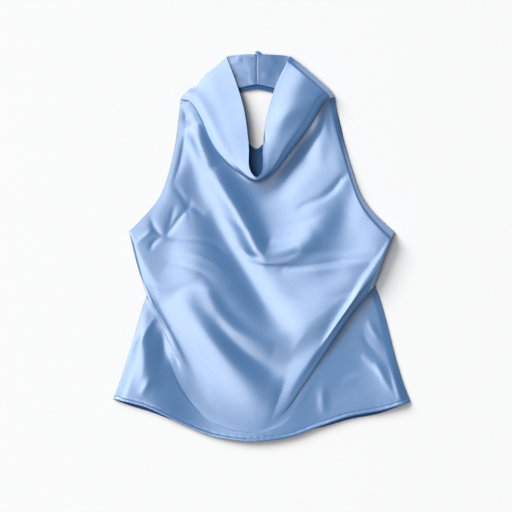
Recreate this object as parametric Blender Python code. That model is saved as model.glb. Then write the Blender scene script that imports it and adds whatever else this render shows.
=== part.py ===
"""Halter top in satin with a draped cowl, laid on its back with the front up.

Metres, +Z up, +Y toward the neck. The origin is under the middle of the top,
on the surface that it lies on. The tables are in millimetres.
"""
import math
from collections import namedtuple

import bmesh
import bpy
import numpy as np

MM = 0.001

# Cloth walls. The panels are one satin layer, thicker where the hem turns up.
FRONT_WALL = 1.0
BACK_WALL = 1.0
HEM_WALL = 1.4
COLLAR_WALL = 0.9
FACING_WALL = 0.6
SEAM_GAP = 0.3

# The front's grid: columns from side seam to side seam.
FRONT_COLUMNS = 46
BACK_COLUMNS = 34
COLUMN_GATHER = 0.5

# The back panel shows outside the right armhole near the top.
BACK_INSET = 1.0
BACK_PEEK = 3.0
BACK_PEEK_Y = 178.0
BACK_PEEK_SPREAD = 26.0

# Neck button, covered in the same satin, under the back of the collar.
BUTTON_RADIUS = 8.0
BUTTON_HEIGHT = 3.6
BUTTON_CENTRE = (-6.5, 284.5)
CENTRE_BACK_X = -7.5

# The collar's back: two layers over the back panel's shoulders, the outer one
# showing below the inner one.
COLLAR_ENDS = (-108.0, 98.0)
COLLAR_OUTER_DROP = 7.5
COLLAR_OUTER_HEIGHT = BACK_WALL + FACING_WALL + 3 * SEAM_GAP
COLLAR_INNER_HEIGHT = COLLAR_OUTER_HEIGHT + COLLAR_WALL + 1.5 * SEAM_GAP
COLLAR_BUTTON_LIFT = BUTTON_HEIGHT + SEAM_GAP - COLLAR_OUTER_HEIGHT
COLLAR_LIFT_SPREAD = 24.0

SATIN = (0.42, 0.62, 0.86, 1.0)
SATIN_INSIDE = (0.20, 0.36, 0.60, 1.0)
SATIN_ROUGHNESS = 0.38
SATIN_METALLIC = 0.15

# Lines that the cloth follows across the top, seen from above, left to right.
LINES = {
    "hem": [(-223, -230.5), (-197, -236), (-167, -245), (-122, -266.5), (-74, -285.5),
            (-17, -293.5), (40, -287.5), (88, -271), (133, -256), (181, -247), (223, -234.5)],
    "swag": [(-172.5, -74), (-155, -113), (-131, -159.5), (-104, -210.5), (-70, -251),
             (-17, -269), (29, -252.5), (61, -212), (94, -162.5), (133, -104.5), (170, -59)],
    "waist": [(-199, 22), (-173, -30.5), (-134, -78.5), (-74, -114.5), (1, -129.5),
              (67, -111.5), (118, -77), (163, -29), (200, 20.5)],
    "bust": [(-142, 104.5), (-122, 65.5), (-92, 26.5), (-50, -5), (4, -17),
             (52, -6.5), (88, 23.5), (115, 61), (136.5, 112)],
    "cowl": [(-121.5, 218.5), (-107, 213.5), (-92, 188.5), (-70, 143.5), (-43, 115),
             (-10, 98), (20, 112), (44, 142), (71, 177), (93, 213), (109.5, 223)],
    "neck": [(-52.5, 284.5), (-34.5, 235), (-25, 199), (-19, 151), (-18.5, 118),
             (-8.5, 103), (1.5, 115), (2, 148), (6, 185.5), (19, 233.5), (43, 284.5)],
    "back hem": [(-222, -231.5), (-197, -241), (-167, -250), (-122, -266), (-70, -281.5),
                 (-17, -288.5), (35, -283), (88, -273.5), (133, -261), (178, -252.5),
                 (222, -236)],
    "back chest": [(-197, 20), (-100, 8), (0, 4), (100, 8), (198, 19)],
    "back V": [(-119, 215), (-70, 190), (-24, 157), (-8, 145), (7, 156),
               (55, 190), (107, 219)],
    "collar top": [(-117, 225), (-98, 239), (-84, 255), (-67, 271), (-52, 283.5),
                   (-32, 286.4), (-7.5, 287.6), (20, 286.6), (42, 283.5), (61, 269),
                   (79, 252), (99, 234), (105, 227)],
    "collar low": [(-117, 220), (-92, 222), (-70, 229), (-50, 233.5), (-33, 237), (-20, 240),
                   (-7.5, 242), (4, 240.5), (20, 236.5), (40, 233), (62, 229), (84, 225),
                   (105, 222)],
}

# The outline's sides, from the hem corner up: skirt, flank, armhole, collar.
LEFT_SIDE = [
    [(-223, -230.5), (-212, -201.5), (-196, -152), (-181, -99.5), (-172.5, -74)],
    [(-172.5, -74), (-182, -45.5), (-190.5, -14), (-199, 22)],
    [(-199, 22), (-182, 39.5), (-163, 60.5), (-148, 84.5), (-136.5, 121), (-129, 157),
     (-124, 196), (-121.5, 218.5)],
    [(-121.5, 218.5), (-115, 230.5), (-98, 241), (-85, 257), (-68, 271), (-52.5, 284.5)],
]
RIGHT_SIDE = [
    [(223, -234.5), (212, -206), (200, -167), (188, -119), (178, -81.5), (170, -59)],
    [(170, -59), (178, -39.5), (188, -9.5), (200, 20.5)],
    [(200, 20.5), (184, 35), (163, 56.5), (148, 80), (136, 113.5), (127, 143.5),
     (118, 176.5), (112.5, 203.5), (109.5, 223)],
    [(109.5, 223), (100, 236), (80, 254), (62, 269.5), (43, 284.5)],
]

# Where a section's heights are given, as shares of its length.
ACROSS = (0.0, 0.04, 0.12, 0.28, 0.5, 0.72, 0.88, 0.975, 1.0)
LEVEL = (0,) * 9

# A section of the front: its line, or a mix of two; its place on the sides (1 is
# the notch, 2 the underarm, 3 the shoulder, 4 the collar's corner); the mesh rows
# that lead to it; and at each place in ACROSS how far it lies inside its line, where
# the cloth doubles under a fold, and how high.
Section = namedtuple("Section", "name line to share side rows inside heights")
FRONT = [
    Section("hem", "hem", "hem", 0, 0.0, 0, LEVEL,
            (3.0, 7.0, 7.6, 5.4, 8.2, 6.2, 6.6, 8.8, 3.0)),
    Section("hem turn", "hem", "swag", 0.1, 0.05, 1, LEVEL,
            (3.0, 7.2, 7.8, 5.2, 8.2, 6.0, 6.4, 8.6, 3.0)),
    Section("skirt", "hem", "swag", 0.52, 0.52, 2, LEVEL,
            (2.8, 5.2, 4.8, 3.4, 7.4, 4.8, 3.6, 4.8, 2.8)),
    Section("swag foot", "swag", "swag", 0, 0.955, 3, (-2, -4, -6, -14, -8, -8, -5, -4, -2),
            (2.1, 3.0, 2.7, 2.7, 6.8, 4.4, 3.4, 3.6, 2.1)),
    Section("swag root", "swag", "swag", 0, 0.98, 2, (1, 5, 4, -8, -5, 4, 13, 7, 1),
            (2.6, 3.5, 3.0, 2.7, 6.7, 4.7, 5.6, 5.6, 2.6)),
    Section("swag under", "swag", "swag", 0, 0.995, 2, (1, 3, 3, -4, -2, 3, 7, 4, 1),
            (3.0, 3.9, 3.6, 2.7, 6.6, 5.1, 9.6, 9.4, 3.2)),
    Section("swag edge", "swag", "swag", 0, 1.01, 2, LEVEL,
            (3.3, 4.1, 4.0, 2.7, 6.5, 5.4, 13.0, 13.4, 3.8)),
    Section("swag top", "swag", "swag", 0, 1.05, 2, (2, 4, 6, 8, 8, 7, 6, 4, 2),
            (3.3, 4.2, 4.2, 2.8, 6.2, 6.2, 15.6, 16.6, 4.0)),
    Section("flank", "swag", "waist", 0.5, 1.5, 3, LEVEL,
            (2.1, 3.6, 4.0, 3.4, 4.6, 10.8, 18.4, 18.2, 2.1)),
    Section("waist", "waist", "waist", 0, 1.98, 3, LEVEL,
            (2.1, 3.4, 4.6, 6.0, 8.8, 15.4, 17.4, 17.8, 2.1)),
    Section("ribs", "waist", "bust", 0.5, 2.22, 3, LEVEL,
            (2.1, 3.6, 4.8, 8.4, 9.0, 13.2, 14.8, 15.4, 2.1)),
    Section("bust", "bust", "bust", 0, 2.46, 4, LEVEL,
            (2.4, 3.6, 4.6, 8.0, 8.8, 12.4, 11.0, 10.8, 2.4)),
    Section("hollow", "bust", "cowl", 0.55, 2.76, 4, LEVEL,
            (2.6, 3.6, 4.2, 4.8, 6.2, 7.0, 6.8, 7.4, 2.6)),
    Section("cowl foot", "cowl", "cowl", 0, 2.96, 3, (-2, -4, -5, -5, -5, -5, -5, -4, -2),
            (2.8, 4.0, 4.4, 4.8, 4.8, 4.8, 5.0, 5.0, 2.8)),
    Section("cowl root", "cowl", "cowl", 0, 2.98, 2, (1, 7, 13, 12, 1.6, 12, 13, 7, 1),
            (3.2, 4.6, 5.2, 5.8, 5.8, 6.0, 6.4, 5.8, 3.2)),
    Section("cowl under", "cowl", "cowl", 0, 3.0, 2, (0.6, 4, 7, 6, 0.7, 6, 7, 4, 0.6),
            (3.8, 5.8, 7.2, 8.4, 9.2, 9.6, 9.8, 8.4, 3.8)),
    Section("cowl edge", "cowl", "cowl", 0, 3.02, 2, LEVEL,
            (4.6, 7.0, 9.0, 11.2, 12.6, 13.2, 13.4, 11.2, 4.6)),
    Section("cowl top", "cowl", "cowl", 0, 3.06, 2, (2, 4, 5, 6, 1.4, 6, 5, 4, 2),
            (5.2, 7.8, 10.4, 13.2, 14.8, 15.2, 15.6, 13.2, 5.2)),
    Section("cowl roll", "cowl", "neck", 0.22, 3.2, 2, LEVEL,
            (5.6, 8.2, 11.0, 14.4, 17.2, 17.6, 18.0, 15.6, 5.6)),
    Section("cowl band", "cowl", "neck", 0.5, 3.5, 2, LEVEL,
            (6.2, 8.6, 11.6, 15.4, 18.4, 18.2, 18.6, 16.4, 6.2)),
    Section("neck", "neck", "neck", 0, 4.0, 4, LEVEL,
            (7.2, 9.4, 12.8, 17.0, 18.8, 17.4, 16.6, 13.6, 7.2)),
]

BACK = [
    Section("hem", "back hem", "back hem", 0, 0.0, 0, LEVEL, LEVEL),
    Section("hem turn", "back hem", "back chest", 0.04, 0.08, 1, LEVEL, LEVEL),
    Section("waist", "back hem", "back chest", 0.62, 1.0, 7, LEVEL, LEVEL),
    Section("chest", "back chest", "back chest", 0, 2.0, 4, LEVEL, LEVEL),
    Section("shoulders", "back chest", "back V", 0.5, 2.5, 4, LEVEL, LEVEL),
    Section("V", "back V", "back V", 0, 3.0, 5, LEVEL, LEVEL),
]

# Soft ridges and troughs of the front: height of the crest, and how far it spreads
# to the left and to the right of its path.
Fold = namedtuple("Fold", "name rise left right path")
FOLDS = [
    Fold("ring beside the cowl", 4.4, 12, 13,
         [(-103, 184), (-97, 166), (-88, 144), (-77, 114)]),
    Fold("ring on the left", 3.6, 15, 12,
         [(-88, 146), (-77, 108), (-64, 76), (-52, 57), (-23, 6), (-4, -9), (13, -15), (43, -9),
          (67, 4), (85, 21)]),
    Fold("ring on the right", 1.2, 26, 18,
         [(13, -15), (43, -9), (67, 4), (85, 21), (97, 39), (107, 58), (116, 99), (118, 144)]),
    Fold("trough outside the ring", -3.8, 20, 22,
         [(-101, 124), (-95, 100), (-86, 66), (-73, 40), (-56, 9), (-35, -24), (-17, -54),
          (1, -84), (22, -110), (45, -133), (62, -147), (90, -164)]),
    Fold("belly ridge", 5.6, 24, 30,
         [(-128, -70), (-115, -89), (-95, -118), (-74, -144), (-44, -179), (-14, -206),
          (10, -219), (28, -226)]),
    Fold("second ridge", 2.4, 10, 15,
         [(-95, -52), (-80, -73), (-62, -102), (-40, -124), (-10, -142), (20, -156)]),
    Fold("second trough", -1.8, 11, 13,
         [(-78, -100), (-58, -130), (-32, -157), (-2, -178), (30, -195)]),
    Fold("ridge of the left skirt", 2.4, 16, 18,
         [(-186, -122), (-182, -149), (-173, -188), (-160, -222)]),
    Fold("crease under the ring", -1.4, 7, 5,
         [(-25, -22), (13, -29), (58, -31), (118, -24), (170, -19)]),
    Fold("fold on the left skirt", 1.2, 6, 9,
         [(-158, -105), (-175, -131), (-193, -159), (-209, -198)]),
]


def clear_scene():
    for thing in list(bpy.data.objects):
        bpy.data.objects.remove(thing, do_unlink=True)


def satin(name, colour):
    material = bpy.data.materials.new(name)
    material.use_nodes = True
    material.diffuse_color = colour
    shader = material.node_tree.nodes["Principled BSDF"]
    shader.inputs["Base Color"].default_value = colour
    shader.inputs["Roughness"].default_value = SATIN_ROUGHNESS
    shader.inputs["Metallic"].default_value = SATIN_METALLIC
    return material


def slopes(places, values):
    """Slopes of a smooth curve that never overshoots its given values."""
    step = np.diff(places)[:, None]
    rise = np.diff(values, axis=0) / step
    slope = np.zeros_like(values)
    same_way = rise[:-1] * rise[1:] > 0
    total = np.where(same_way, rise[:-1] + rise[1:], 1.0)
    slope[1:-1] = np.where(same_way, 2 * rise[:-1] * rise[1:] / total, 0.0)
    slope[0] = rise[0]
    slope[-1] = rise[-1]
    return slope


def smooth_between(places, values, wanted):
    """Smooth curve through values given at places, read at the wanted places."""
    places = np.asarray(places, float)
    values = np.asarray(values, float)
    flat = values.ndim == 1
    if flat:
        values = values[:, None]
    slope = slopes(places, values)
    wanted = np.asarray(wanted, float)
    span = np.clip(np.searchsorted(places, wanted, side="right") - 1, 0, len(places) - 2)
    width = (places[span + 1] - places[span])[:, None]
    t = ((wanted - places[span])[:, None]) / width
    read = ((2 * t ** 3 - 3 * t ** 2 + 1) * values[span]
            + (t ** 3 - 2 * t ** 2 + t) * width * slope[span]
            + (3 * t ** 2 - 2 * t ** 3) * values[span + 1]
            + (t ** 3 - t ** 2) * width * slope[span + 1])
    return read[:, 0] if flat else read


def rounded(points, per_span=14):
    """Points along a round curve through the given ones."""
    points = np.asarray(points, float)
    ends = np.vstack([2 * points[0] - points[1], points, 2 * points[-1] - points[-2]])
    read = []
    for a, b, c, d in zip(ends, ends[1:], ends[2:], ends[3:]):
        for step in range(per_span):
            t = step / per_span
            read.append(0.5 * (2 * b + (c - a) * t + (2 * a - 5 * b + 4 * c - d) * t * t
                               + (3 * b - a - 3 * c + d) * t ** 3))
    read.append(points[-1])
    return np.array(read)


def along(points, shares):
    """Points at the given shares of a path's length."""
    length = np.concatenate([[0], np.cumsum(np.linalg.norm(np.diff(points, axis=0), axis=1))])
    at = np.asarray(shares) * length[-1]
    return np.column_stack([np.interp(at, length, points[:, k]) for k in range(2)])


def inward(points):
    """Unit directions in plan from a line toward the neck."""
    ahead = np.gradient(points, axis=0)
    ahead /= np.linalg.norm(ahead, axis=1)[:, None]
    return np.column_stack([-ahead[:, 1], ahead[:, 0]])


def side_points(side, places):
    """Points up a side of the outline: 1.5 is half way up its second stretch."""
    found = []
    for place in places:
        stretch = min(int(place), len(side) - 1)
        found.append(along(rounded(side[stretch]), [place - stretch])[0])
    return np.array(found)


def columns(count):
    """Shares across a panel, closer together at its sides and in its middle."""
    t = np.linspace(0, 1, count)
    return t - COLUMN_GATHER * np.sin(4 * math.pi * t) / (4 * math.pi)


def section_points(section, across):
    line = along(rounded(LINES[section.line]), across)
    if section.share:
        other = along(rounded(LINES[section.to]), across)
        line = line * (1 - section.share) + other * section.share
    line = line + inward(line) * smooth_between(ACROSS, section.inside, across)[:, None]
    height = smooth_between(ACROSS, section.heights, across)
    return np.column_stack([line, height])


def panel_points(sections, across, left, right):
    """A panel's grid of points: through its sections, and held to its two sides."""
    given = np.array([section_points(section, across) for section in sections])
    steps = np.linalg.norm(np.diff(given, axis=0), axis=2).mean(axis=1)
    places = np.concatenate([[0], np.cumsum(steps)])
    wanted = [0.0]
    for k, section in enumerate(sections[1:]):
        for row in range(section.rows):
            wanted.append(places[k] + (places[k + 1] - places[k]) * (row + 1) / section.rows)
    grid = smooth_between(places, given.reshape(len(sections), -1), wanted)
    grid = grid.reshape(len(wanted), len(across), 3)
    up_side = smooth_between(places, [section.side for section in sections], wanted)
    for edge, side, pull in ((0, left, (1 - across) ** 3), (-1, right, across ** 3)):
        off = side_points(side, up_side) - grid[:, edge, :2]
        grid[:, :, :2] += off[:, None, :] * pull[None, :, None]
    return grid


def fold_height(points, fold):
    """Height that one fold adds at each point, from its path seen from above."""
    path = rounded(fold.path, 8)
    step = np.gradient(path, axis=0)
    length = np.linalg.norm(step, axis=1)
    ahead = step / length[:, None]
    away = points[:, None, :] - path[None, :, :]
    near = np.argmin((away ** 2).sum(axis=2), axis=1)
    away = away[np.arange(len(points)), near]
    onward = (away * ahead[near]).sum(axis=1)
    onward = np.clip(onward, -0.7 * length[near], 0.7 * length[near])
    away = away - ahead[near] * onward[:, None]
    distance = np.sqrt((away ** 2).sum(axis=1))
    side = ahead[near, 0] * away[:, 1] - ahead[near, 1] * away[:, 0]
    spread = np.where(side > 0, fold.left, fold.right)
    place = (near + onward / length[near]) / (len(path) - 1)
    fade = np.sin(math.pi * np.clip(place, 0.02, 0.98)) ** 0.6
    return fold.rise * fade * np.exp(-(distance / spread) ** 2)


def add_folds(grid, across, folds):
    points = grid[:, :, :2].reshape(-1, 2)
    added = sum(fold_height(points, fold) for fold in folds).reshape(grid.shape[:2])
    from_seam = np.clip(np.minimum(across, 1 - across) / 0.07, 0, 1)
    grid[:, :, 2] += added * (from_seam ** 2 * (3 - 2 * from_seam))[None, :]
    return grid


def cloth(name, grid, wall, offset, material, edge_wall=None, edge_rows=0):
    """A grid of points in millimetres as a closed wall of cloth."""
    rows, count = grid.shape[:2]
    bm = bmesh.new()
    weights = bm.verts.layers.deform.verify()
    verts = [[bm.verts.new(point) for point in row] for row in grid * MM]
    for j in range(rows - 1):
        for i in range(count - 1):
            bm.faces.new((verts[j][i], verts[j][i + 1], verts[j + 1][i + 1], verts[j + 1][i]))
    thickest = edge_wall or wall
    for j in range(rows):
        for vert in verts[j]:
            vert[weights][0] = 1.0 if j < edge_rows else wall / thickest
    mesh = bpy.data.meshes.new(name)
    bm.to_mesh(mesh)
    bm.free()
    piece = bpy.data.objects.new(name, mesh)
    bpy.context.scene.collection.objects.link(piece)
    piece.vertex_groups.new(name="wall")
    thicken = piece.modifiers.new("Wall", "SOLIDIFY")
    thicken.thickness = thickest * MM
    thicken.offset = offset
    thicken.vertex_group = "wall"
    mesh.materials.append(material)
    mesh.shade_smooth()
    return piece


def front_panel(material):
    across = columns(FRONT_COLUMNS)
    grid = panel_points(FRONT, across, LEFT_SIDE, RIGHT_SIDE)
    grid = add_folds(grid, across, FOLDS)
    return cloth("front_panel", grid, FRONT_WALL, 0.0, material, HEM_WALL, 2)


def back_side(side, sign):
    """A side of the outline drawn in a little, and out where the back shows."""
    moved = []
    for stretch in side[:3]:
        line = []
        for x, y in stretch:
            out = -BACK_INSET
            if sign > 0:
                out += BACK_PEEK * math.exp(-((y - BACK_PEEK_Y) / BACK_PEEK_SPREAD) ** 2)
            line.append((x + sign * out, y))
        moved.append(line)
    return moved


def back_points(count):
    across = columns(count)
    return panel_points(BACK, across, back_side(LEFT_SIDE, -1), back_side(RIGHT_SIDE, 1))


def back_panel(material):
    return cloth("back_panel", back_points(BACK_COLUMNS), BACK_WALL, 1.0, material, HEM_WALL, 2)


def neck_facings(material):
    """Strips that finish the back's V, one each side of the centre back seam."""
    top = back_points(61)[-1]
    inner = top[:, :2] - inward(top[:, :2]) * 4.8
    outer = top[:, :2] - inward(top[:, :2]) * 0.4
    middle = np.argmin(top[:, 1])
    height = BACK_WALL + SEAM_GAP
    pieces = []
    halves = (("back_neck_facing_left", slice(3, middle + 1), -1),
              ("back_neck_facing_right", slice(middle, len(top) - 3), 1))
    for name, part, sign in halves:
        grid = np.zeros((2, len(top[part]), 3))
        grid[0, :, :2] = inner[part]
        grid[1, :, :2] = outer[part]
        grid[:, :, 2] = height
        seam = -1 if sign < 0 else 0
        grid[:, seam, 0] = top[middle, 0] + sign * SEAM_GAP / 2
        pieces.append(cloth(name, grid, FACING_WALL, 1.0, material))
    return pieces


def collar_points(left, right, drop, height):
    """Part of the collar's back, from its lower edge to its top edge."""
    shares = np.linspace(0, 1, 400)
    top = along(rounded(LINES["collar top"]), shares)
    low = along(rounded(LINES["collar low"]), shares)
    low[:, 1] -= drop * np.exp(-((low[:, 0] - CENTRE_BACK_X) / 45) ** 4)
    span = np.linspace(left, right, 15)
    grid = np.zeros((5, len(span), 3))
    grid[:, :, 0] = span
    for j in range(5):
        line = low * (1 - j / 4) + top * (j / 4)
        grid[j, :, 1] = np.interp(span, line[:, 0], line[:, 1])
    away = np.hypot(grid[:, :, 0] - BUTTON_CENTRE[0], grid[:, :, 1] - BUTTON_CENTRE[1])
    past_button = np.maximum(away - BUTTON_RADIUS - 2, 0)
    grid[:, :, 2] = height
    grid[:, :, 2] += COLLAR_BUTTON_LIFT * np.exp(-(past_button / COLLAR_LIFT_SPREAD) ** 2)
    return grid


def collar_back(material, outside):
    left, right = COLLAR_ENDS
    seam_left = CENTRE_BACK_X - SEAM_GAP / 2
    seam_right = CENTRE_BACK_X + SEAM_GAP / 2
    pieces = (
        ("collar_back_inner_left", left, seam_left, 0, COLLAR_INNER_HEIGHT, material),
        ("collar_back_inner_right", seam_right, right, 0, COLLAR_INNER_HEIGHT, material),
        ("collar_back_outer", left, right, COLLAR_OUTER_DROP, COLLAR_OUTER_HEIGHT, outside),
    )
    for name, start, end, drop, height, finish in pieces:
        cloth(name, collar_points(start, end, drop, height), COLLAR_WALL, 1.0, finish)


def neck_button(material):
    """Domed button: a flat face below, a rounded rim and a low crown."""
    bm = bmesh.new()
    profile = [(0.0, 0.2), (0.72, 0.2), (0.94, 0.9), (1.0, 1.7), (0.92, 2.6),
               (0.66, 3.3), (0.0, BUTTON_HEIGHT)]
    verts = [bm.verts.new((r * BUTTON_RADIUS * MM, 0, z * MM)) for r, z in profile]
    edges = [bm.edges.new(pair) for pair in zip(verts, verts[1:])]
    bmesh.ops.spin(bm, geom=verts + edges, cent=(0, 0, 0), axis=(0, 0, 1),
                   angle=2 * math.pi, steps=20, use_merge=True)
    bmesh.ops.remove_doubles(bm, verts=bm.verts, dist=1e-6)
    bmesh.ops.recalc_face_normals(bm, faces=bm.faces)
    mesh = bpy.data.meshes.new("neck_button")
    bm.to_mesh(mesh)
    bm.free()
    mesh.materials.append(material)
    mesh.shade_smooth()
    button = bpy.data.objects.new("neck_button", mesh)
    button.location = (BUTTON_CENTRE[0] * MM, BUTTON_CENTRE[1] * MM, 0)
    bpy.context.scene.collection.objects.link(button)


def main():
    clear_scene()
    face = satin("satin face", SATIN)
    inside = satin("satin inside", SATIN_INSIDE)
    back = satin("satin back panel", SATIN_INSIDE)
    button = satin("satin button", SATIN)
    facing = satin("satin facing", SATIN_INSIDE)
    front_panel(face)
    back_panel(back)
    neck_facings(facing)
    collar_back(inside, back)
    neck_button(button)


main()
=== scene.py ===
import math

import bmesh
import bpy
import numpy as np
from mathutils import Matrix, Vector, noise


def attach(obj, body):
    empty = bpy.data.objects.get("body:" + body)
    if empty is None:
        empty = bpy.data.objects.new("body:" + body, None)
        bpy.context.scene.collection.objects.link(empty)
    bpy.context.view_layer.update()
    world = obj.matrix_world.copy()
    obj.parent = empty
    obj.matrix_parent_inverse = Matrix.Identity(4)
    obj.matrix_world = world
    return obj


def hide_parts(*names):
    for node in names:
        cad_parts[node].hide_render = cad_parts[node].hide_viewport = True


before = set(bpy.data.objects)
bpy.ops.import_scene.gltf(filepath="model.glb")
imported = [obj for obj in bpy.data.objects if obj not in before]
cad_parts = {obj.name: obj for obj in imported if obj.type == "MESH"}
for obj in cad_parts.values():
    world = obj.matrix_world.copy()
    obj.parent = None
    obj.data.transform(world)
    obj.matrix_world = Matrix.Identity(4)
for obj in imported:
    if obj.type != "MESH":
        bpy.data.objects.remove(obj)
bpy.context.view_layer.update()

mm = 0.001
scene = bpy.context.scene

camera = {
    "centre": (-8.25, -15.3),      # mm, where the picture's middle falls on the top
    "width": 768.0,                # mm across the picture at the cloth's height
    "clothHeight": 10.0,
    "lens": 400.0,
    "sensor": 36.0,
    "farthest": 20.0,              # m
}
light = {
    "keyAzimuth": 138.0,           # degrees, seen from above: 90 is past the neck
    "keyHeight": 32.0,             # degrees above the floor
    "keySoftness": 34.0,           # degrees across
    "keyStrength": 3.85,
    "boxAzimuth": 180.0,           # a long softbox beside the top, higher up
    "boxHeight": 70.5,
    "boxAway": 8.0,
    "boxWidth": 3.84,
    "boxLength": 8.0,
    "boxPower": 262.0,
    "skyStrength": 0.14,
    "skyColour": (0.97, 0.98, 1.0),
}
floorLook = {"size": 6.0, "colour": (0.86, 0.86, 0.865), "roughness": 0.9, "gloss": 0.1,
             "grain": 0.0006, "grainScale": 420.0, "grainDetail": 3.0, "grainStrength": 0.25}


def aimAt(thing, target):
    thing.rotation_euler = (Vector(target) - thing.location).to_track_quat("-Z", "Y").to_euler()


def addCamera():
    data = bpy.data.cameras.new("camera")
    data.lens = camera["lens"]
    data.sensor_width = camera["sensor"]
    data.clip_end = camera["farthest"]
    eye = bpy.data.objects.new("camera", data)
    x, y = camera["centre"]
    away = camera["width"] * camera["lens"] / camera["sensor"] + camera["clothHeight"]
    eye.location = (x * mm, y * mm, away * mm)
    scene.collection.objects.link(eye)
    scene.camera = eye


def awayFrom(azimuth, height, away):
    turn = math.radians(azimuth)
    lift = math.radians(height)
    return Vector((math.cos(turn) * math.cos(lift), math.sin(turn) * math.cos(lift),
                   math.sin(lift))) * away


def addLights():
    data = bpy.data.lights.new("keyLight", "SUN")
    data.energy = light["keyStrength"]
    data.angle = math.radians(light["keySoftness"])
    key = bpy.data.objects.new("keyLight", data)
    key.location = awayFrom(light["keyAzimuth"], light["keyHeight"], 2)
    data = bpy.data.lights.new("softBox", "AREA")
    data.shape = "RECTANGLE"
    data.size = light["boxLength"]
    data.size_y = light["boxWidth"]
    data.energy = light["boxPower"]
    box = bpy.data.objects.new("softBox", data)
    box.location = awayFrom(light["boxAzimuth"], light["boxHeight"], light["boxAway"])
    for lamp in (key, box):
        aimAt(lamp, (0, 0, 0))
        scene.collection.objects.link(lamp)


def addFloor():
    bm = bmesh.new()
    bmesh.ops.create_grid(bm, x_segments=2, y_segments=2, size=floorLook["size"] / 2)
    mesh = bpy.data.meshes.new("floor")
    bm.to_mesh(mesh)
    bm.free()
    floor = bpy.data.objects.new("floor", mesh)
    scene.collection.objects.link(floor)
    material = bpy.data.materials.new("paleFloor")
    material.use_nodes = True
    nodes = material.node_tree.nodes
    links = material.node_tree.links
    shader = nodes["Principled BSDF"]
    shader.inputs["Base Color"].default_value = (*floorLook["colour"], 1)
    shader.inputs["Roughness"].default_value = floorLook["roughness"]
    shader.inputs["Specular IOR Level"].default_value = floorLook["gloss"]
    place = nodes.new("ShaderNodeTexCoord")
    grain = nodes.new("ShaderNodeTexNoise")
    grain.inputs["Scale"].default_value = floorLook["grainScale"]
    grain.inputs["Detail"].default_value = floorLook["grainDetail"]
    bump = nodes.new("ShaderNodeBump")
    bump.inputs["Strength"].default_value = floorLook["grainStrength"]
    bump.inputs["Distance"].default_value = floorLook["grain"]
    links.new(place.outputs["Object"], grain.inputs["Vector"])
    links.new(grain.outputs["Fac"], bump.inputs["Height"])
    links.new(bump.outputs["Normal"], shader.inputs["Normal"])
    mesh.materials.append(material)


def addSky():
    world = bpy.data.worlds.new("softSky")
    world.use_nodes = True
    back = world.node_tree.nodes["Background"]
    back.inputs["Color"].default_value = (*light["skyColour"], 1)
    back.inputs["Strength"].default_value = light["skyStrength"]
    scene.world = world


addCamera()
addLights()
addFloor()
addSky()
scene.view_settings.view_transform = "Standard"
print("camera, lights and floor are in")

# Lines that the cloth follows across the top, seen from above, left to right, in mm.
lines = {
    "hem": [(-223, -230.5), (-197, -236), (-167, -245), (-122, -266.5), (-74, -285.5),
            (-17, -293.5), (40, -287.5), (88, -271), (133, -256), (181, -247), (223, -234.5)],
    "swag": [(-172.5, -74), (-155, -113), (-131, -159.5), (-104, -210.5), (-70, -251),
             (-17, -269), (29, -252.5), (61, -212), (94, -162.5), (133, -104.5), (170, -59)],
    "waist": [(-199, 22), (-173, -30.5), (-134, -78.5), (-74, -114.5), (1, -129.5),
              (67, -111.5), (118, -77), (163, -29), (200, 20.5)],
    "bust": [(-142, 104.5), (-122, 65.5), (-92, 26.5), (-50, -5), (4, -17),
             (52, -6.5), (88, 23.5), (115, 61), (136.5, 112)],
    "cowl": [(-121.5, 218.5), (-107, 213.5), (-92, 188.5), (-70, 143.5), (-43, 115),
             (-10, 98), (20, 112), (44, 142), (71, 177), (93, 213), (109.5, 223)],
    "neck": [(-52.5, 284.5), (-34.5, 235), (-25, 199), (-19, 151), (-18.5, 118),
             (-8.5, 103), (1.5, 115), (2, 148), (6, 185.5), (19, 233.5), (43, 284.5)],
    "backHem": [(-222, -231.5), (-197, -241), (-167, -250), (-122, -266), (-70, -281.5),
                (-17, -288.5), (35, -283), (88, -273.5), (133, -261), (178, -252.5),
                (222, -236)],
    "backChest": [(-197, 20), (-100, 8), (0, 4), (100, 8), (198, 19)],
    "backV": [(-119, 215), (-70, 190), (-24, 157), (-8, 145), (7, 156), (55, 190), (107, 219)],
    "collarTop": [(-117, 225), (-98, 239), (-84, 255), (-67, 271), (-52, 283.5),
                  (-32, 286.4), (-7.5, 287.6), (20, 286.6), (42, 283.5), (61, 269),
                  (79, 252), (99, 234), (105, 227)],
    "collarLow": [(-117, 220), (-92, 222), (-70, 229), (-50, 233.5), (-33, 237), (-20, 240),
                  (-7.5, 242), (4, 240.5), (20, 236.5), (40, 233), (62, 229), (84, 225),
                  (105, 222)],
}

# The outline's sides, from the hem corner up: skirt, flank, armhole, collar.
leftSide = [
    [(-223, -230.5), (-212, -201.5), (-196, -152), (-181, -99.5), (-172.5, -74)],
    [(-172.5, -74), (-182, -45.5), (-190.5, -14), (-199, 22)],
    [(-199, 22), (-182, 39.5), (-163, 60.5), (-148, 84.5), (-136.5, 121), (-129, 157),
     (-124, 196), (-121.5, 218.5)],
    [(-121.5, 218.5), (-115, 230.5), (-98, 241), (-85, 257), (-68, 271), (-52.5, 284.5)],
]
rightSide = [
    [(223, -234.5), (212, -206), (200, -167), (188, -119), (178, -81.5), (170, -59)],
    [(170, -59), (178, -39.5), (188, -9.5), (200, 20.5)],
    [(200, 20.5), (184, 35), (163, 56.5), (148, 80), (136, 113.5), (127, 143.5),
     (118, 176.5), (112.5, 203.5), (109.5, 223)],
    [(109.5, 223), (100, 236), (80, 254), (62, 269.5), (43, 284.5)],
]

# Where a section's heights are given, as shares of its length.
across = (0.0, 0.04, 0.12, 0.28, 0.5, 0.72, 0.88, 0.975, 1.0)

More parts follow.
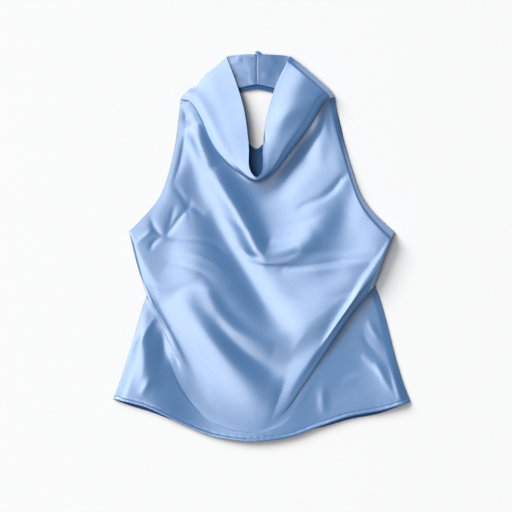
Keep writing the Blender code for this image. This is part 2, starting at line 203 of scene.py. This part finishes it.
# Sections of the front, in mm: line, line mixed in, its share, place on the sides,
# rows that lead here, how far inside its line the cloth lies, and its heights.
level = (0,) * 9
frontSections = [
    ("hem", "hem", 0, 0.0, 0, level,
     (3.0, 7.0, 7.6, 5.4, 8.0, 6.2, 6.6, 8.0, 3.0)),
    ("hem", "swag", 0.10, 0.05, 14, level,
     (3.0, 7.2, 7.8, 5.2, 8.2, 6.0, 6.4, 7.4, 3.0)),
    ("hem", "swag", 0.52, 0.52, 14, level,
     (2.8, 5.2, 4.8, 3.4, 7.4, 4.8, 3.6, 4.0, 2.8)),
    ("swag", "swag", 0, 0.955, 14, (-2, -4, -6, -14, -8, -8, -5, -4, -2),
     (2.1, 3.0, 2.7, 2.7, 6.8, 4.4, 3.4, 3.6, 2.1)),
    ("swag", "swag", 0, 0.98, 7, (1, 5, 4, -8, -5, 4, 13, 7, 1),
     (2.6, 3.5, 3.0, 2.7, 6.7, 4.7, 5.6, 5.6, 2.6)),
    ("swag", "swag", 0, 0.995, 5, (1, 3, 3, -4, -2, 3, 7, 4, 1),
     (3.0, 3.9, 3.6, 2.7, 6.6, 5.1, 9.6, 9.4, 3.2)),
    ("swag", "swag", 0, 1.01, 6, level,
     (3.3, 4.1, 4.0, 2.7, 6.5, 7.0, 12.4, 13.0, 3.8)),
    ("swag", "swag", 0, 1.05, 6, (2, 4, 6, 8, 8, 7, 6, 4, 2),
     (3.3, 4.2, 4.2, 2.8, 6.2, 8.2, 14.6, 15.8, 4.0)),
    ("swag", "waist", 0.5, 1.5, 18, level,
     (2.1, 3.6, 4.0, 3.4, 4.6, 11.8, 18.6, 18.2, 2.1)),
    ("waist", "waist", 0, 1.98, 18, level,
     (2.1, 3.4, 4.6, 6.0, 8.8, 15.4, 17.4, 17.8, 2.1)),
    ("waist", "bust", 0.5, 2.22, 16, level,
     (2.1, 3.0, 3.8, 8.4, 9.0, 13.2, 13.8, 14.6, 2.1)),
    ("bust", "bust", 0, 2.46, 16, level,
     (2.4, 3.0, 3.5, 6.4, 8.8, 12.0, 10.4, 10.2, 2.4)),
    ("bust", "cowl", 0.55, 2.76, 18, level,
     (2.6, 3.2, 3.4, 5.0, 5.0, 6.4, 6.6, 7.2, 2.6)),
    ("bust", "cowl", 0.8, 2.88, 8, level,
     (2.7, 3.3, 3.6, 4.6, 2.6, 3.4, 4.4, 6.2, 2.7)),
    ("cowl", "cowl", 0, 2.96, 12, (-2, -4, -5, -5, -5, -5, -5, -4, -2),
     (2.8, 4.0, 4.4, 5.2, 3.0, 6.4, 6.6, 5.6, 2.8)),
    ("cowl", "cowl", 0, 2.98, 6, (1, 7, 13, 12, 1.6, 12, 13, 7, 1),
     (3.2, 4.6, 5.2, 5.8, 5.2, 7.0, 7.2, 6.0, 3.2)),
    ("cowl", "cowl", 0, 3.0, 5, (0.6, 4, 7, 6, 0.7, 6, 7, 4, 0.6),
     (3.8, 5.8, 7.2, 8.4, 9.4, 10.8, 11.0, 9.0, 3.8)),
    ("cowl", "cowl", 0, 3.02, 6, level,
     (4.6, 7.0, 9.0, 11.2, 13.4, 15.2, 15.0, 13.4, 4.6)),
    ("cowl", "cowl", 0, 3.06, 6, (1.5, 3, 3.5, 3.5, 0.4, 3.5, 3.5, 3, 1.5),
     (5.2, 7.8, 10.4, 13.2, 15.6, 17.2, 17.0, 15.8, 5.2)),
    ("cowl", "neck", 0.3, 3.2, 8, level,
     (5.6, 8.2, 11.2, 14.6, 17.4, 18.6, 18.2, 17.4, 5.6)),
    ("cowl", "neck", 0.5, 3.5, 10, level,
     (6.2, 8.6, 11.6, 15.4, 18.2, 18.4, 18.6, 18.0, 6.2)),
    ("neck", "neck", 0, 4.0, 16, level,
     (7.2, 9.4, 12.8, 17.0, 18.6, 16.0, 14.8, 13.0, 7.2)),
]
backSections = [
    ("backHem", "backHem", 0, 0.0, 0, level, level),
    ("backHem", "backChest", 0.04, 0.08, 6, level, level),
    ("backHem", "backChest", 0.62, 1.0, 30, level, level),
    ("backChest", "backChest", 0, 2.0, 16, level, level),
    ("backChest", "backV", 0.5, 2.5, 16, level, level),
    ("backV", "backV", 0, 3.0, 20, level, level),
]

# Soft ridges and troughs in mm: rise, spread to the left of the path, spread to its
# right, how the crest is shaped, and the path.
folds = [
    (4.4, 12, 13, "soft", [(-103, 184), (-97, 166), (-88, 144), (-74, 116)]),
    (5.2, 15, 15, "soft", [(-90, 150), (-75, 116), (-60, 92), (-42, 62), (-22, 26),
                           (-4, -9), (13, -15), (43, -9), (67, 4), (85, 21)]),
    (1.2, 26, 18, "soft", [(13, -15), (43, -9), (67, 4), (85, 21), (97, 39),
                           (107, 58), (116, 99), (118, 144)]),
    (-3.8, 20, 22, "soft", [(-101, 124), (-95, 100), (-86, 66), (-73, 40), (-56, 9),
                            (-35, -24), (-17, -54), (1, -84), (22, -110), (42, -130),
                            (58, -142)]),
    (5.6, 24, 30, "soft", [(-128, -70), (-115, -89), (-95, -118), (-74, -144), (-44, -179),
                           (-14, -206), (10, -219), (28, -226)]),
    (2.4, 10, 15, "soft", [(-95, -52), (-80, -73), (-62, -102), (-40, -124), (-10, -142),
                           (20, -156)]),
    (-1.8, 11, 13, "soft", [(-78, -100), (-58, -130), (-32, -157), (-2, -178), (30, -195)]),
    (2.4, 16, 18, "soft", [(-186, -122), (-182, -149), (-173, -188), (-160, -222)]),
    (-1.5, 9, 3, "crease", [(-32, -5), (-17, -16), (1, -20), (22, -20), (43, -15), (61, -6)]),
    (-1.3, 4, 3, "crease", [(-25, -24), (13, -32), (58, -32), (118, -24), (172, -18)]),
    (1.0, 4, 9, "soft", [(30, -38), (70, -37), (118, -31), (160, -25)]),
    (-0.8, 5, 5, "crease", [(-32, -14), (58, -11), (133, -6), (172, -6)]),
    (-1.0, 3.5, 3.5, "crease", [(-169, 51), (-166, 39), (-161, 27), (-154, 19), (-146, 13)]),
    (-0.8, 3.5, 3.5, "crease", [(-146, 13), (-136, 24), (-122, 43), (-107, 61)]),
    (-0.6, 5, 5, "crease", [(-146, 13), (-137, 36), (-130, 61)]),
    (-1.1, 5, 3.5, "crease", [(-146, 13), (-130, 10), (-107, 9), (-85, 7), (-70, 1), (-55, -14)]),
    (0.7, 4, 4, "crease", [(-164, 23), (-176, 14), (-190, 2)]),
    (-0.8, 3, 3, "crease", [(-152, 12), (-163, 4), (-167, -6)]),
    (-0.8, 5, 5, "crease", [(-109, 72), (-106, 60), (-95, 52), (-85, 46)]),
    (-0.7, 5, 5, "crease", [(-113, 174), (-118, 151), (-122, 129), (-127, 111), (-133, 94)]),
    (-1.3, 5, 5, "crease", [(-122, 210), (-116, 199), (-115, 186)]),
    (-1.2, 4, 4, "crease", [(134, 115), (127, 106), (119, 99), (110, 87), (100, 78), (91, 72),
                            (65, 61), (52, 54)]),
    (0.6, 4, 4, "crease", [(-85, -63), (-62, -65), (-40, -65)]),
    (1.6, 5, 12, "crease", [(-158, -105), (-175, -131), (-193, -159), (-209, -198)]),
    (-1.2, 9, 8, "soft", [(-149, -122), (-147, -140), (-147, -158), (-148, -186)]),
    (0.8, 5, 5, "soft", [(-182, -224), (-173, -210), (-164, -198)]),
    (1.0, 5, 5, "crease", [(160, -114), (172, -132), (185, -149)]),
    (0.9, 4, 4, "crease", [(151, -164), (172, -180), (193, -194)]),
    (0.8, 5, 5, "crease", [(170, -174), (185, -200), (200, -224)]),
    (0.6, 6, 6, "soft", [(92, -209), (92, -231), (94, -254)]),
    (5.0, 9, 6, "soft", [(200, -172), (205, -200), (211, -232)]),
    (1.6, 12, 12, "soft", [(95, 205), (91, 178), (86, 150), (76, 122)]),
    (1.2, 14, 14, "soft", [(95, 223), (58, 207), (28, 189), (10, 166)]),
    (-0.6, 3, 3, "crease", [(5, 171), (6, 154)]),
    (-0.5, 3.5, 3.5, "crease", [(-170, -58), (-140, -66), (-108, -64), (-78, -70)]),
    (-0.5, 3.5, 3.5, "crease", [(-150, -24), (-118, -30), (-88, -42), (-70, -56)]),
    (0.5, 4, 4, "crease", [(-136, -8), (-104, -12), (-74, -24), (-50, -42)]),
    (-0.5, 3.5, 3.5, "crease", [(-136, 96), (-122, 78), (-112, 60), (-106, 38)]),
    (0.4, 3.5, 3.5, "crease", [(-60, 52), (-30, 28), (8, 16), (46, 20)]),
    (-0.4, 3.5, 3.5, "crease", [(96, 52), (74, 40), (40, 30), (10, 30)]),
    (-0.5, 4, 4, "crease", [(150, -128), (162, -150), (182, -166), (206, -176)]),
    (0.5, 4, 4, "crease", [(120, -206), (146, -196), (176, -200), (204, -206)]),
    (-0.4, 4, 4, "crease", [(40, -70), (80, -78), (118, -74), (150, -62)]),
    (-0.4, 4, 4, "crease", [(-120, -130), (-96, -160), (-72, -186), (-50, -204)]),
]
foldShape = {
    "reach": 3.2,                  # how far a fold is felt, in spreads
    "creaseFade": 0.6,             # a crease keeps its height nearer to its ends
    "creaseTip": 0.12,             # roundness of its tip
    "creaseFall": 1.3,
    "creaseLift": 0.45,
    "seamFade": 0.07,              # folds fade out over this share beside the seams
}


def smoothBetween(places, values, wanted):
    places = np.asarray(places, float)
    values = np.asarray(values, float)
    flat = values.ndim == 1
    if flat:
        values = values[:, None]
    rise = np.diff(values, axis=0) / np.diff(places)[:, None]
    sameWay = rise[:-1] * rise[1:] > 0
    total = np.where(sameWay, rise[:-1] + rise[1:], 1.0)
    slope = np.zeros_like(values)
    slope[1:-1] = np.where(sameWay, 2 * rise[:-1] * rise[1:] / total, 0.0)
    slope[0] = rise[0]
    slope[-1] = rise[-1]
    wanted = np.asarray(wanted, float)
    span = np.clip(np.searchsorted(places, wanted, side="right") - 1, 0, len(places) - 2)
    width = (places[span + 1] - places[span])[:, None]
    t = (wanted - places[span])[:, None] / width
    read = ((2 * t ** 3 - 3 * t ** 2 + 1) * values[span]
            + (t ** 3 - 2 * t ** 2 + t) * width * slope[span]
            + (3 * t ** 2 - 2 * t ** 3) * values[span + 1]
            + (t ** 3 - t ** 2) * width * slope[span + 1])
    return read[:, 0] if flat else read


def rounded(points, perSpan=14):
    points = np.asarray(points, float)
    ends = np.vstack([2 * points[0] - points[1], points, 2 * points[-1] - points[-2]])
    read = []
    for a, b, c, d in zip(ends, ends[1:], ends[2:], ends[3:]):
        for step in range(perSpan):
            t = step / perSpan
            read.append(0.5 * (2 * b + (c - a) * t + (2 * a - 5 * b + 4 * c - d) * t * t
                               + (3 * b - a - 3 * c + d) * t ** 3))
    read.append(points[-1])
    return np.array(read)


def along(points, shares):
    length = np.concatenate([[0], np.cumsum(np.linalg.norm(np.diff(points, axis=0), axis=1))])
    at = np.asarray(shares) * length[-1]
    return np.column_stack([np.interp(at, length, points[:, k]) for k in range(points.shape[1])])


def inward(points):
    ahead = np.gradient(points[:, :2], axis=0)
    ahead /= np.linalg.norm(ahead, axis=1)[:, None]
    return np.column_stack([-ahead[:, 1], ahead[:, 0]])


def sidePoints(side, places):
    found = []
    paths = [rounded(stretch) for stretch in side]
    for place in places:
        stretch = min(int(place), len(side) - 1)
        found.append(along(paths[stretch], [place - stretch])[0])
    return np.array(found)


def columnShares(count, gather=0.5):
    t = np.linspace(0, 1, count)
    return t - gather * np.sin(4 * math.pi * t) / (4 * math.pi)


def sectionPoints(section, shares):
    line, to, mix, side, rows, inside, heights = section
    points = along(rounded(lines[line]), shares)
    if mix:
        points = points * (1 - mix) + along(rounded(lines[to]), shares) * mix
    points = points + inward(points) * smoothBetween(across, inside, shares)[:, None]
    return np.column_stack([points, smoothBetween(across, heights, shares)])


def panelPoints(sections, shares, left, right):
    given = np.array([sectionPoints(section, shares) for section in sections])
    steps = np.linalg.norm(np.diff(given, axis=0), axis=2).mean(axis=1)
    places = np.concatenate([[0], np.cumsum(steps)])
    wanted = [0.0]
    for k, section in enumerate(sections[1:]):
        for row in range(section[4]):
            wanted.append(places[k] + (places[k + 1] - places[k]) * (row + 1) / section[4])
    grid = smoothBetween(places, given.reshape(len(sections), -1), wanted)
    grid = grid.reshape(len(wanted), len(shares), 3)
    upSide = smoothBetween(places, [section[3] for section in sections], wanted)
    for edge, side, pull in ((0, left, (1 - shares) ** 3), (-1, right, shares ** 3)):
        off = sidePoints(side, upSide) - grid[:, edge, :2]
        grid[:, :, :2] += off[:, None, :] * pull[None, :, None]
    return grid


def foldHeight(points, fold):
    rise, leftSpread, rightSpread, crest, path = fold
    path = rounded(path, 8)
    reach = foldShape["reach"] * max(leftSpread, rightSpread)
    inside = np.all((points > path.min(axis=0) - reach) & (points < path.max(axis=0) + reach),
                    axis=1)
    step = np.gradient(path, axis=0)
    length = np.linalg.norm(step, axis=1)
    ahead = step / length[:, None]
    away = points[inside][:, None, :] - path[None, :, :]
    near = np.argmin((away ** 2).sum(axis=2), axis=1)
    away = away[np.arange(len(near)), near]
    onward = (away * ahead[near]).sum(axis=1)
    onward = np.clip(onward, -0.7 * length[near], 0.7 * length[near])
    away = away - ahead[near] * onward[:, None]
    distance = np.sqrt((away ** 2).sum(axis=1))
    side = ahead[near, 0] * away[:, 1] - ahead[near, 1] * away[:, 0]
    spread = np.where(side > 0, leftSpread, rightSpread)
    place = (near + onward / length[near]) / (len(path) - 1)
    fade = np.sin(math.pi * np.clip(place, 0.005, 0.995))
    if crest == "soft":
        shape = np.exp(-(distance / spread) ** 2)
    else:
        fade = fade ** foldShape["creaseFade"]
        tip = np.sqrt((distance / spread) ** 2 + foldShape["creaseTip"])
        shape = np.exp(-tip * foldShape["creaseFall"] + foldShape["creaseLift"])
    added = np.zeros(len(points))
    added[inside] = rise * fade * shape
    return added


def addFolds(grid, shares):
    points = grid[:, :, :2].reshape(-1, 2)
    added = sum(foldHeight(points, fold) for fold in folds).reshape(grid.shape[:2])
    fromSeam = np.clip(np.minimum(shares, 1 - shares) / foldShape["seamFade"], 0, 1)
    grid[:, :, 2] += added * (fromSeam ** 2 * (3 - 2 * fromSeam))[None, :]
    return grid


# A narrow row along each edge keeps the shading of the rim off the cloth.
def tightEdges(grid, width=0.45):
    for axis in (0, 1):
        grid = np.moveaxis(grid, axis, 0)
        rows = []
        for edge, beside in ((grid[0], grid[1]), (grid[-1], grid[-2])):
            step = beside - edge
            length = np.linalg.norm(step, axis=1)[:, None] + 1e-9
            rows.append(edge + step * np.minimum(width / length, 0.5))
        grid = np.concatenate([grid[:1], rows[0][None], grid[1:-1], rows[1][None], grid[-1:]])
        grid = np.moveaxis(grid, 0, axis)
    return grid


def gridPiece(name, grid, wall, materials, offset=0.0):
    grid = tightEdges(grid)
    rows, count = grid.shape[:2]
    bm = bmesh.new()
    bmesh.ops.create_grid(bm, x_segments=count - 1, y_segments=rows - 1, size=1)
    for vert in bm.verts:
        i = round((vert.co.x + 1) / 2 * (count - 1))
        j = round((vert.co.y + 1) / 2 * (rows - 1))
        vert.co = Vector(grid[j, i] * mm)
    grain = bm.loops.layers.uv.new("grain")     # the lengthways grain runs up the picture
    for face in bm.faces:
        face.smooth = True
        for loop in face.loops:
            loop[grain].uv = loop.vert.co.xy
    mesh = bpy.data.meshes.new(name)
    bm.to_mesh(mesh)
    bm.free()
    for material in materials:
        mesh.materials.append(material)
    piece = bpy.data.objects.new(name, mesh)
    scene.collection.objects.link(piece)
    thicken = piece.modifiers.new("wall", "SOLIDIFY")
    thicken.thickness = wall * mm
    thicken.offset = offset
    if len(materials) > 1:
        thicken.material_offset = 1
    return piece


satin = {
    "colour": (0.104, 0.287, 0.62),
    "deepColour": (0.040, 0.166, 0.41),
    # the wrong side is made darker than the cloth's own: painted shade for the insides seen
    # through the openings and for the collar's lower layer
    "reverseAndShade": (0.030, 0.105, 0.27),
    "thread": (0.16, 0.34, 0.64),
    "roughness": 0.27,
    "metallic": 0.15,
    "ior": 2.2,
    "gloss": 0.9,
    "plainIor": 1.45,              # of the reverse and the thread
    "reverseRoughness": 0.6,
    "reverseGloss": 0.25,
    "threadRoughness": 0.5,
    "threadGloss": 0.4,
    "clouds": 14.0,                # broad changes of tint
    "cloudDetail": 3.0,
    "specks": 520.0,
    "speckDetail": 1.0,
    "speckShare": 0.6,
    "threads": 130.0,              # scale of the weave
    "threadWander": 1.5,
    "threadDetail": 1.0,
    "weaveStrength": 0.12,
    "weaveDepth": 0.0002,
}


def satinMaterial(name, colour, deepColour, roughness, metallic, ior, gloss):
    material = bpy.data.materials.new(name)
    material.use_nodes = True
    nodes = material.node_tree.nodes
    links = material.node_tree.links
    shader = nodes["Principled BSDF"]
    shader.inputs["Roughness"].default_value = roughness
    shader.inputs["Metallic"].default_value = metallic
    shader.inputs["IOR"].default_value = ior
    shader.inputs["Specular IOR Level"].default_value = gloss
    uv = nodes.new("ShaderNodeUVMap")
    uv.uv_map = "grain"
    place = nodes.new("ShaderNodeTexCoord")
    cloud = nodes.new("ShaderNodeTexNoise")
    cloud.inputs["Scale"].default_value = satin["clouds"]
    cloud.inputs["Detail"].default_value = satin["cloudDetail"]
    specks = nodes.new("ShaderNodeTexNoise")
    specks.inputs["Scale"].default_value = satin["specks"]
    specks.inputs["Detail"].default_value = satin["speckDetail"]
    both = nodes.new("ShaderNodeMix")
    both.inputs["Factor"].default_value = satin["speckShare"]
    tint = nodes.new("ShaderNodeMix")
    tint.data_type = "RGBA"
    tint.inputs["A"].default_value = (*deepColour, 1)
    tint.inputs["B"].default_value = (*colour, 1)
    threads = nodes.new("ShaderNodeTexWave")
    threads.bands_direction = "DIAGONAL"
    threads.inputs["Scale"].default_value = satin["threads"]
    threads.inputs["Distortion"].default_value = satin["threadWander"]
    threads.inputs["Detail"].default_value = satin["threadDetail"]
    bump = nodes.new("ShaderNodeBump")
    bump.inputs["Strength"].default_value = satin["weaveStrength"]
    bump.inputs["Distance"].default_value = satin["weaveDepth"]
    links.new(place.outputs["Object"], cloud.inputs["Vector"])
    links.new(place.outputs["Object"], specks.inputs["Vector"])
    links.new(cloud.outputs["Fac"], both.inputs["A"])
    links.new(specks.outputs["Fac"], both.inputs["B"])
    links.new(both.outputs["Result"], tint.inputs["Factor"])
    links.new(tint.outputs["Result"], shader.inputs["Base Color"])
    links.new(uv.outputs["UV"], threads.inputs["Vector"])
    links.new(threads.outputs["Fac"], bump.inputs["Height"])
    links.new(bump.outputs["Normal"], shader.inputs["Normal"])
    return material


satinFace = satinMaterial("satinFace", satin["colour"], satin["deepColour"],
                          satin["roughness"], satin["metallic"], satin["ior"], satin["gloss"])
# wrong side of the satin, its colour darkened as painted shade
satinReverseAndShade = satinMaterial("satinReverseAndShade", satin["reverseAndShade"], satin["reverseAndShade"],
                             satin["reverseRoughness"], 0.0, satin["plainIor"],
                             satin["reverseGloss"])
threadLook = satinMaterial("threadLook", satin["thread"], satin["thread"],
                           satin["threadRoughness"], 0.0, satin["plainIor"],
                           satin["threadGloss"])
print("satin is mixed")

hem = {"width": 4.4, "roll": 0.55, "groove": 0.35, "grooveWidth": 0.8, "grooveAway": 0.6,
       "rows": 26, "pucker": 0.07, "puckerReach": 3.0, "puckerLength": 1.9,
       "puckerDrift": 23.0}
stitches = {"length": 2.2, "pitch": 3.1, "radius": 0.24, "lift": 0.25, "ends": 0.012,
            "ahead": 0.3}


def hemDistance(grid):
    path = rounded(lines["hem"], 60)
    points = grid[:hem["rows"], :, :2]
    return np.array([[np.hypot(*(path - point).T).min() for point in row] for row in points])


def addHem(grid):
    away = hemDistance(grid)
    half = hem["width"] / 2
    acrossX = grid[:hem["rows"], :, 0]
    pastGroove = away - hem["width"] - hem["grooveAway"]
    rise = hem["roll"] * np.sqrt(np.clip(1 - ((away - half) / half) ** 2, 0, 1))
    rise -= hem["groove"] * np.exp(-(pastGroove / hem["grooveWidth"]) ** 2)
    drift = 2 * np.sin(acrossX / hem["puckerDrift"])
    wave = np.sin(acrossX / hem["puckerLength"] + drift)
    rise += hem["pucker"] * wave * np.exp(-(pastGroove / hem["puckerReach"]) ** 2)
    grid[:hem["rows"], :, 2] += rise
    return grid


def groovePath(grid):
    away = hemDistance(grid)
    wanted = hem["width"] + hem["grooveAway"]
    return np.array([[np.interp(wanted, away[:, j], grid[:hem["rows"], j, k]) for k in range(3)]
                     for j in range(grid.shape[1])])


def capsule(bm, at, ahead, length, radius):
    turn = Vector(ahead).to_track_quat("X", "Z").to_matrix()
    for vert in bmesh.ops.create_uvsphere(bm, u_segments=6, v_segments=4, radius=1)["verts"]:
        x, y, z = vert.co
        size = Vector((x * length / 2, y * radius, z * radius))
        vert.co = (turn @ size + Vector(at)) * mm


def bmeshPiece(name, bm, material):
    for face in bm.faces:
        face.smooth = True
    mesh = bpy.data.meshes.new(name)
    bm.to_mesh(mesh)
    bm.free()
    mesh.materials.append(material)
    piece = bpy.data.objects.new(name, mesh)
    scene.collection.objects.link(piece)
    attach(piece, "root")
    return piece


front = {"columns": 188, "wall": 0.5, "calmRows": (30, 82), "calmRowFade": 10,
         "calmShares": (0.2, 0.62), "calmShareFade": 0.08, "calmPasses": 40}


# Evens out the rows over the belly, where sections close together would show.
def relax(grid, shares):
    row = np.arange(len(grid))
    low, high = front["calmRows"]
    left, right = front["calmShares"]
    upDown = np.clip(np.minimum(row - low, high - row) / front["calmRowFade"], 0, 1)
    leftRight = np.clip(np.minimum(shares - left, right - shares) / front["calmShareFade"], 0, 1)
    pull = (upDown[:, None] * leftRight[None, :])[1:-1, :, None] * 0.5
    for _ in range(front["calmPasses"]):
        grid[1:-1] += ((grid[:-2] + grid[2:]) / 2 - grid[1:-1]) * pull
    return grid


shares = columnShares(front["columns"])
frontGrid = relax(panelPoints(frontSections, shares, leftSide, rightSide), shares)
frontGrid = addHem(addFolds(frontGrid, shares))
frontCloth = gridPiece("frontCloth", frontGrid, front["wall"], [satinFace, satinReverseAndShade])
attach(frontCloth, "root")
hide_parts("front_panel")
print("front", frontGrid.shape)

seam = groovePath(frontGrid)
seamLength = np.linalg.norm(np.diff(seam, axis=0), axis=1).sum()
places = np.arange(stitches["ends"], 1 - stitches["ends"], stitches["pitch"] / seamLength)
bm = bmesh.new()
onward = places + stitches["ahead"] / seamLength
for at, after in zip(along(seam, places), along(seam, onward)):
    capsule(bm, at + np.array([0, 0, stitches["lift"]]), after - at, stitches["length"],
            stitches["radius"])
hemStitches = bmeshPiece("hemStitches", bm, threadLook)
print("hem stitches", len(places))

back = {"columns": 90, "wall": 0.6, "inset": 1.0, "peek": 3.0, "peekAt": 178.0,
        "peekSpread": 26.0}


def backSide(side, sign):
    moved = []
    for stretch in side[:3]:
        row = []
        for x, y in stretch:
            out = -back["inset"]
            if sign > 0:
                out += back["peek"] * math.exp(-((y - back["peekAt"]) / back["peekSpread"]) ** 2)
            row.append((x + sign * out, y))
        moved.append(row)
    return moved


backGrid = panelPoints(backSections, columnShares(back["columns"]), backSide(leftSide, -1),
                       backSide(rightSide, 1))
backCloth = gridPiece("backCloth", backGrid, back["wall"], [satinReverseAndShade, satinFace],
                      offset=1.0)
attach(backCloth, "root")
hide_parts("back_panel")
print("back", backGrid.shape)

facing = {"wall": 0.6, "height": 1.3, "width": 4.8, "gap": 0.3, "inset": 0.4,
          "endColumns": 5, "rows": 5}
collar = {"wall": 0.7, "innerHeight": 3.95, "outerHeight": 2.5, "ends": (-108.0, 98.0),
          "seamX": -7.5, "seamGap": 0.5, "seamDip": 0.12, "drop": 7.0, "lift": 1.4,
          "liftSpread": 24.0, "ripple": 0.55, "rows": 22, "column": 1.6, "fewest": 12,
          "dropSpread": 45.0, "rippleAcross": 0.055, "rippleUp": 0.07, "seamWidth": 1.3,
          "hemRise": (0.05, 0.2, 0.05)}
button = {
    "centre": (-6.5, 284.5), "radius": 8.0, "steps": 40,
    "clear": 2.0,                  # the collar lies level this far around it
    # Its half section: share of the radius, and height in mm.
    "profile": [(0.0, 0.2), (0.6, 0.2), (0.86, 0.45), (0.97, 1.0), (1.0, 1.6), (0.96, 2.2),
                (0.86, 2.75), (0.68, 3.2), (0.4, 3.5), (0.0, 3.6)],
}


def clothPiece(name, grid, wall, materials, node):
    piece = gridPiece(name, grid, wall, materials, offset=1.0)
    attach(piece, "root")
    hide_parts(node)
    return piece


backTop = backGrid[-1]
turned = inward(backTop)
middle = int(np.argmin(backTop[:, 1]))
ends = facing["endColumns"]
for name, part, node in (
        ("facingLeft", slice(ends, middle + 1), "back_neck_facing_left"),
        ("facingRight", slice(middle, len(backTop) - ends), "back_neck_facing_right")):
    share = np.linspace(0, 1, facing["rows"])[:, None, None]
    low = (backTop[:, :2] - turned * facing["width"])[part]
    high = (backTop[:, :2] - turned * facing["inset"])[part]
    strip = np.zeros((facing["rows"], len(low), 3))
    strip[:, :, :2] = low[None] * (1 - share) + high[None] * share
    strip[:, :, 2] = facing["height"]
    strip[:, -1 if name == "facingLeft" else 0, 0] = backTop[middle, 0] + facing["gap"] / 2 * (
        -1 if name == "facingLeft" else 1)
    clothPiece(name, strip, facing["wall"], [satinReverseAndShade], node)


def collarGrid(left, right, drop, height, ripple):
    columns = max(collar["fewest"], int((right - left) / collar["column"]))
    span = np.linspace(left, right, columns)
    top = along(rounded(lines["collarTop"]), np.linspace(0, 1, 400))
    low = along(rounded(lines["collarLow"]), np.linspace(0, 1, 400))
    low[:, 1] -= drop * np.exp(-((low[:, 0] - collar["seamX"]) / collar["dropSpread"]) ** 4)
    share = np.linspace(0, 1, collar["rows"])[:, None]
    grid = np.zeros((collar["rows"], len(span), 3))
    grid[:, :, 0] = span
    grid[:, :, 1] = (np.interp(span, low[:, 0], low[:, 1])[None] * (1 - share)
                     + np.interp(span, top[:, 0], top[:, 1])[None] * share)
    away = np.hypot(grid[:, :, 0] - button["centre"][0], grid[:, :, 1] - button["centre"][1])
    pastButton = np.maximum(away - button["radius"] - button["clear"], 0)
    grid[:, :, 2] = height + collar["lift"] * np.exp(-(pastButton / collar["liftSpread"]) ** 2)
    for row in grid:
        for point in row:
            spot = Vector((point[0] * collar["rippleAcross"], point[1] * collar["rippleUp"], 3))
            point[2] += ripple * max(0.0, noise.noise(spot))
    if ripple:
        fromSeam = (grid[:, :, 0] - collar["seamX"]) / collar["seamWidth"]
        grid[:, :, 2] -= collar["seamDip"] * np.exp(-fromSeam ** 2)
        grid[:3, :, 2] += np.array(collar["hemRise"])[:, None]
    return grid


start, end = collar["ends"]
halfGap = collar["seamGap"] / 2
collarInnerLeft = clothPiece("collarInnerLeft", collarGrid(
    start, collar["seamX"] - halfGap, 0, collar["innerHeight"], collar["ripple"]),
    collar["wall"], [satinFace], "collar_back_inner_left")
collarInnerRight = clothPiece("collarInnerRight", collarGrid(
    collar["seamX"] + halfGap, end, 0, collar["innerHeight"], collar["ripple"]),
    collar["wall"], [satinFace], "collar_back_inner_right")
collarOuter = clothPiece("collarOuter", collarGrid(
    start, end, collar["drop"], collar["outerHeight"], 0.0),
    collar["wall"], [satinReverseAndShade, satinFace], "collar_back_outer")
print("collar back and facings")

bm = bmesh.new()
ring = [bm.verts.new((r * button["radius"] * mm, 0, z * mm)) for r, z in button["profile"]]
edges = [bm.edges.new(pair) for pair in zip(ring, ring[1:])]
bmesh.ops.spin(bm, geom=ring + edges, cent=(0, 0, 0), axis=(0, 0, 1), angle=2 * math.pi,
               steps=button["steps"], use_merge=True)
bmesh.ops.remove_doubles(bm, verts=bm.verts, dist=1e-6)
bmesh.ops.recalc_face_normals(bm, faces=bm.faces)
for vert in bm.verts:
    vert.co.x += button["centre"][0] * mm
    vert.co.y += button["centre"][1] * mm
coveredButton = bmeshPiece("coveredButton", bm, satinFace)
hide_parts("neck_button")
print("button")
